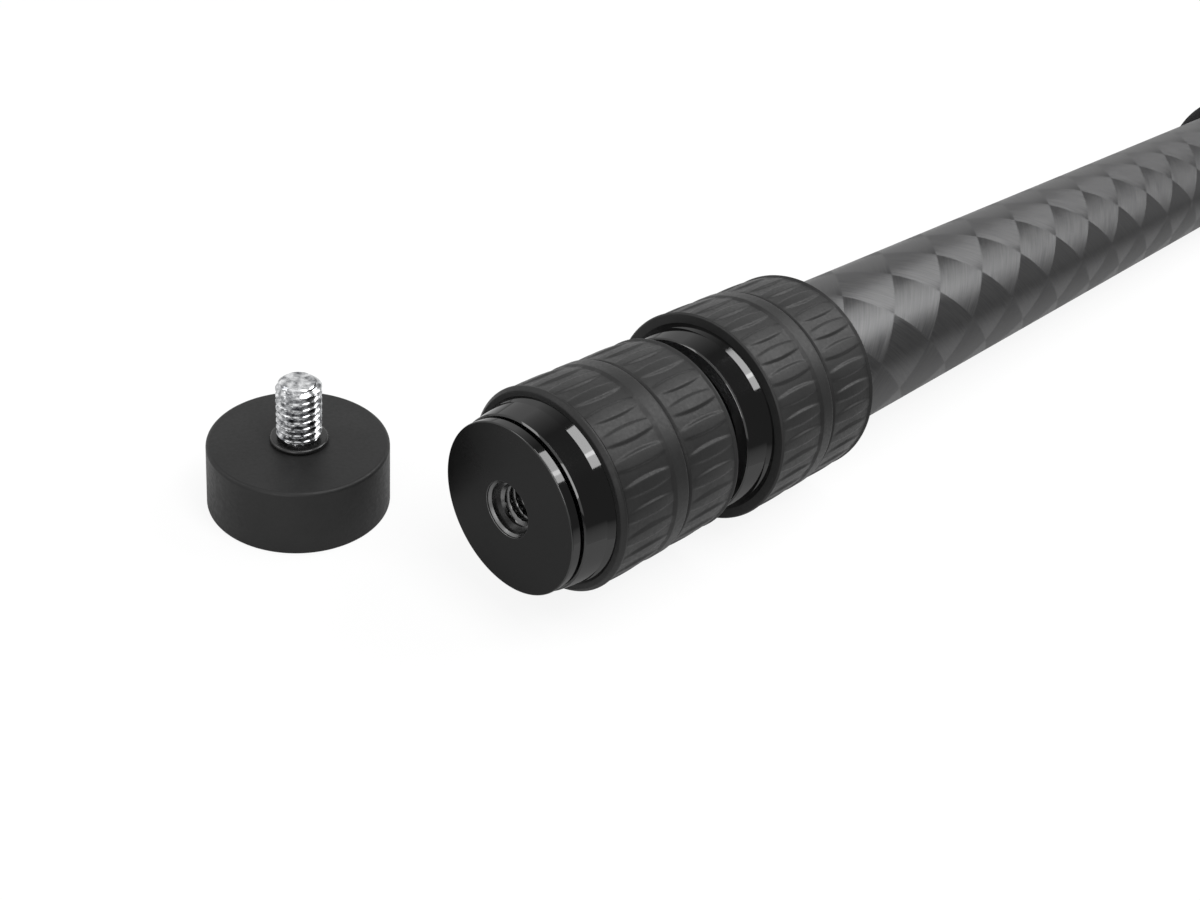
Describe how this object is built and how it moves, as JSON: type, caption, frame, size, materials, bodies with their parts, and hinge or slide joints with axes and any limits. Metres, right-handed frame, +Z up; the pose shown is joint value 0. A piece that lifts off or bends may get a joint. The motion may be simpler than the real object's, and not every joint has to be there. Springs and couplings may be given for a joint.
{
  "type": "camera monopod",
  "caption": "Telescopic carbon fibre camera monopod with twist locks, foam grip, round head plate and a screw-in rubber foot that stands beside its lower end.",
  "frame": {"origin": "centre of the lower end face, at the mouth of the foot socket", "axes": "+Y up the pole from the foot end to the camera screw, +Z up as it lies on a floor at z = -0.0244 m"},
  "size_m": [0.0961, 0.6617, 0.0488],
  "materials": {
    "carbon_fibre": "satin",
    "foam": "matte",
    "black_anodised": "gloss black anodised",
    "bare_alloy": "turned",
    "stainless_steel": "bright",
    "grip_rubber": "matte",
    "seal_rubber": "matte",
    "guide_plastic": "moulded",
    "foot_rubber": "matte",
    "zinc_plated_steel": "bright zinc plated"
  },
  "bodies": {
    "top_section": {"top_tube": "carbon_fibre", "hand_grip": "foam", "head_casting": "black_anodised", "head_pad": "grip_rubber", "head_screw": "stainless_steel", "grub_screws": "stainless_steel", "bumper": "seal_rubber", "upper_sleeve": "bare_alloy"},
    "upper_clamp": {"upper_collet": "guide_plastic"},
    "upper_lock": {"upper_nut": "black_anodised", "upper_grip": "grip_rubber", "upper_seal": "seal_rubber"},
    "middle_section": {"middle_tube": "carbon_fibre", "middle_shims": "guide_plastic", "lower_sleeve": "bare_alloy"},
    "lower_clamp": {"lower_collet": "guide_plastic"},
    "lower_lock": {"lower_nut": "black_anodised", "lower_grip": "grip_rubber", "lower_seal": "seal_rubber"},
    "lower_section": {"lower_tube": "carbon_fibre", "lower_shims": "guide_plastic", "foot_socket": "black_anodised"},
    "foot": {"foot_pad": "foot_rubber", "foot_plate": "zinc_plated_steel", "foot_stud": "zinc_plated_steel", "foot_ring": "foot_rubber"}
  },
  "joints": [
    {"name": "upper_extension", "type": "slide", "parent": "top_section", "child": "middle_section", "axis": [0, -1, 0], "range_m": [0, 0.455]},
    {"name": "lower_extension", "type": "slide", "parent": "middle_section", "child": "lower_section", "axis": [0, -1, 0], "range_m": [0, 0.495]},
    {"name": "upper_lock_travel", "type": "slide", "parent": "top_section", "child": "upper_clamp", "axis": [0, -1, 0], "range_m": [0, 0.0004]},
    {"name": "upper_lock_turn", "type": "hinge", "parent": "upper_clamp", "child": "upper_lock", "pos_m": [0, 0.07, 0], "axis": [0, -1, 0], "range_deg": [0, 90]},
    {"name": "lower_lock_travel", "type": "slide", "parent": "middle_section", "child": "lower_clamp", "axis": [0, -1, 0], "range_m": [0, 0.0004]},
    {"name": "lower_lock_turn", "type": "hinge", "parent": "lower_clamp", "child": "lower_lock", "pos_m": [0, 0.024, 0], "axis": [0, -1, 0], "range_deg": [0, 90]},
    {"name": "foot_lift", "type": "slide", "parent": "top_section", "child": "foot", "axis": [0, 0, 1], "range_m": [0, 0.04]}
  ],
  "couplings": [
    {"joint": "upper_lock_travel", "follows": "upper_lock_turn", "m_per_rad": 0.00023873},
    {"joint": "lower_lock_travel", "follows": "lower_lock_turn", "m_per_rad": 0.00023873}
  ]
}
